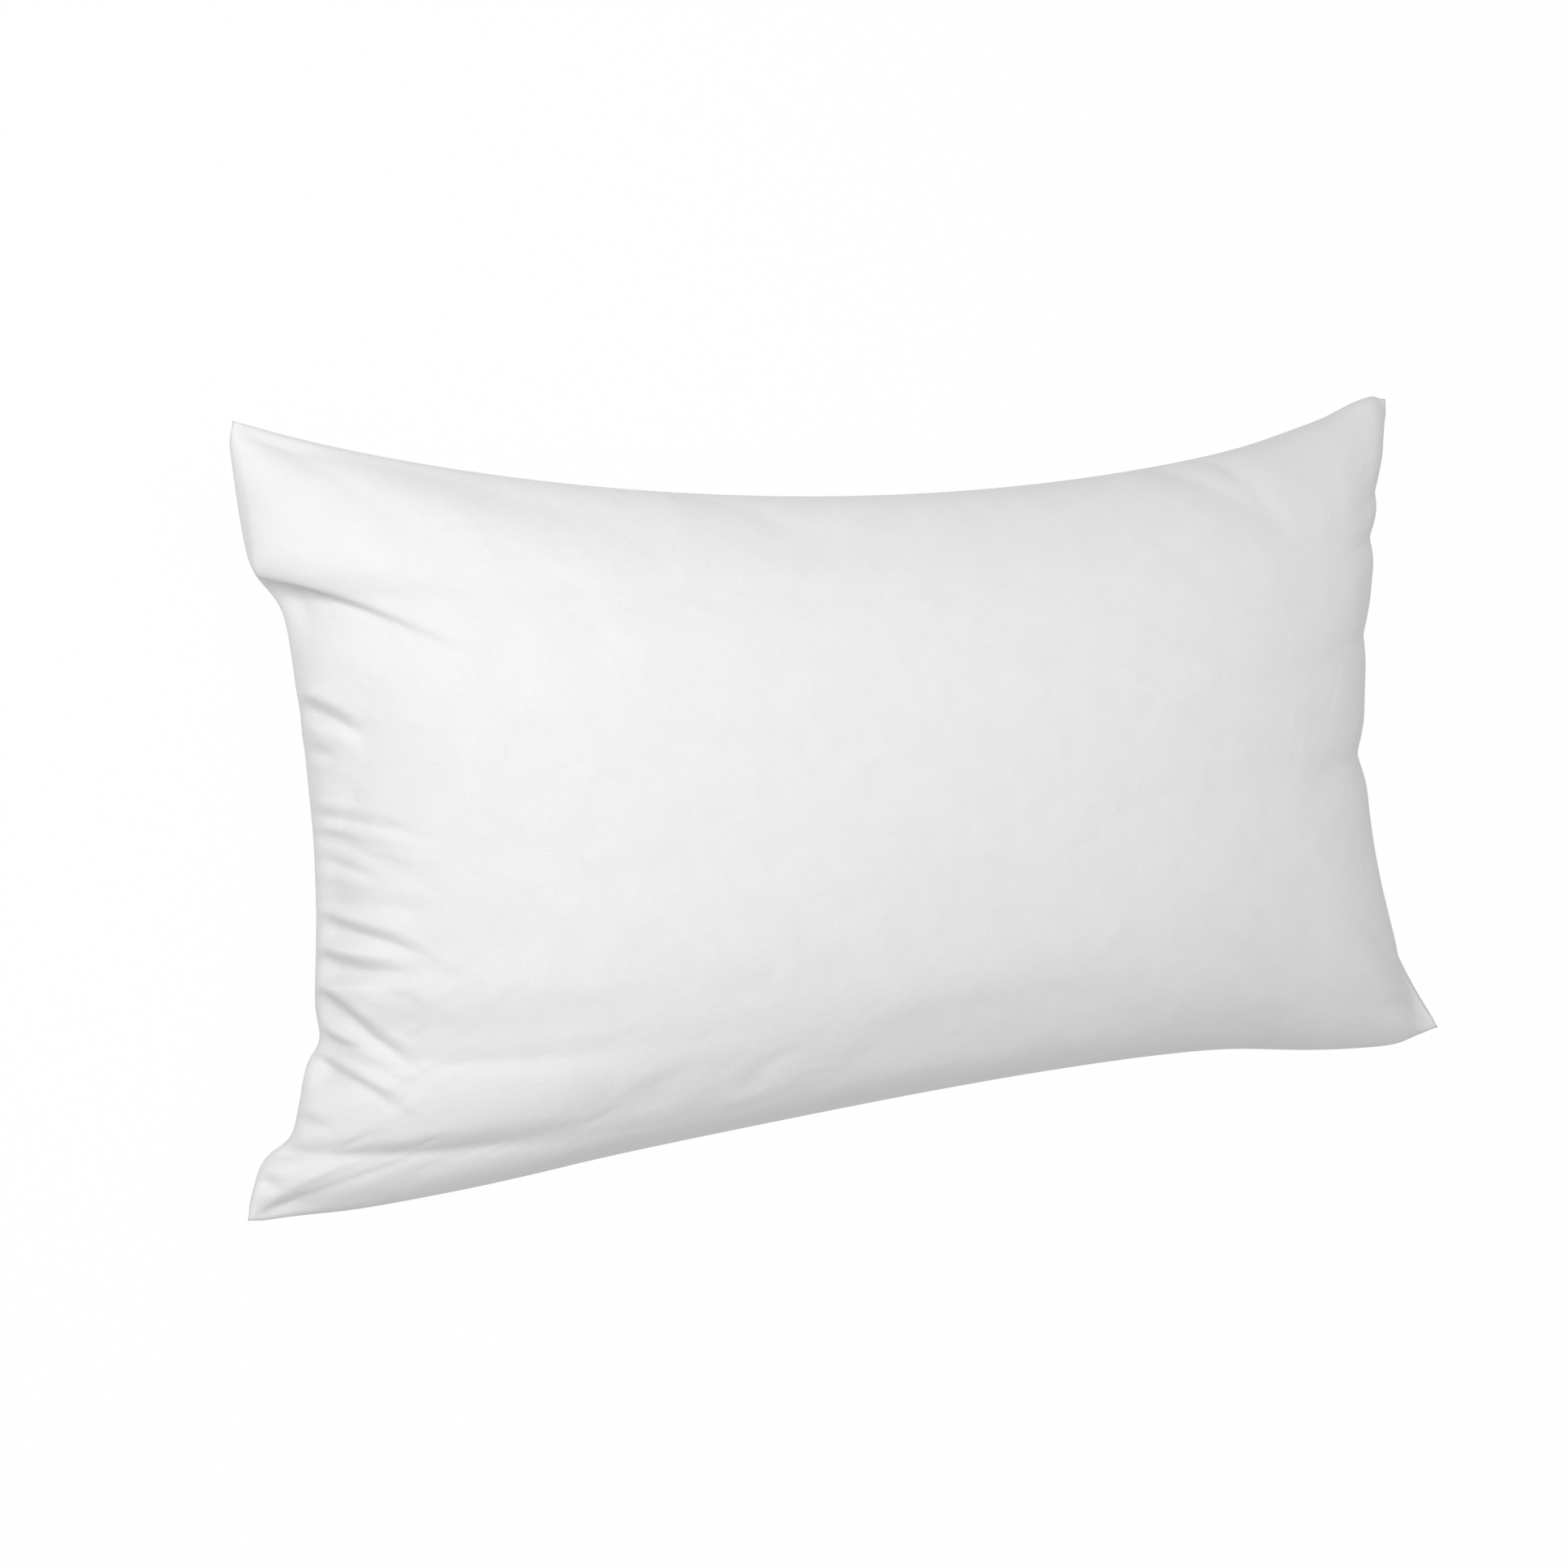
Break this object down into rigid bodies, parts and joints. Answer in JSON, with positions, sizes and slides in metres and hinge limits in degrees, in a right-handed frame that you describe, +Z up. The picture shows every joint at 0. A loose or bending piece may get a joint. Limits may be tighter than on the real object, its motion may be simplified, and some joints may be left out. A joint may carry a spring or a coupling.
{
  "type": "bed pillow",
  "caption": "Rectangular bed pillow: a plain white woven cotton shell with knife edges and pointed corners, sewn closed around layered polyester filling.",
  "frame": {"origin": "on the bed plane that the pillow lies on, under the middle of its bounding box", "axes": "+X along the length, from the end that was closed last to the end with the label; +Y across, towards the long edge that is drawn in more; +Z up, out of the upper face"},
  "size_m": [0.88, 0.478, 0.204],
  "materials": {
    "shell_cloth": "plain woven cotton",
    "filling": "carded polyester fibre",
    "thread": "spun sewing thread",
    "label_cloth": "blank coated label tape"
  },
  "bodies": {
    "root": {"top_panel": "shell_cloth", "bottom_panel": "shell_cloth", "fill_bottom_ply": "filling", "fill_core_ply": "filling", "fill_top_ply": "filling", "seam_thread": "thread", "closing_thread": "thread", "overlock_thread": "thread", "care_label": "label_cloth"}
  },
  "joints": []
}
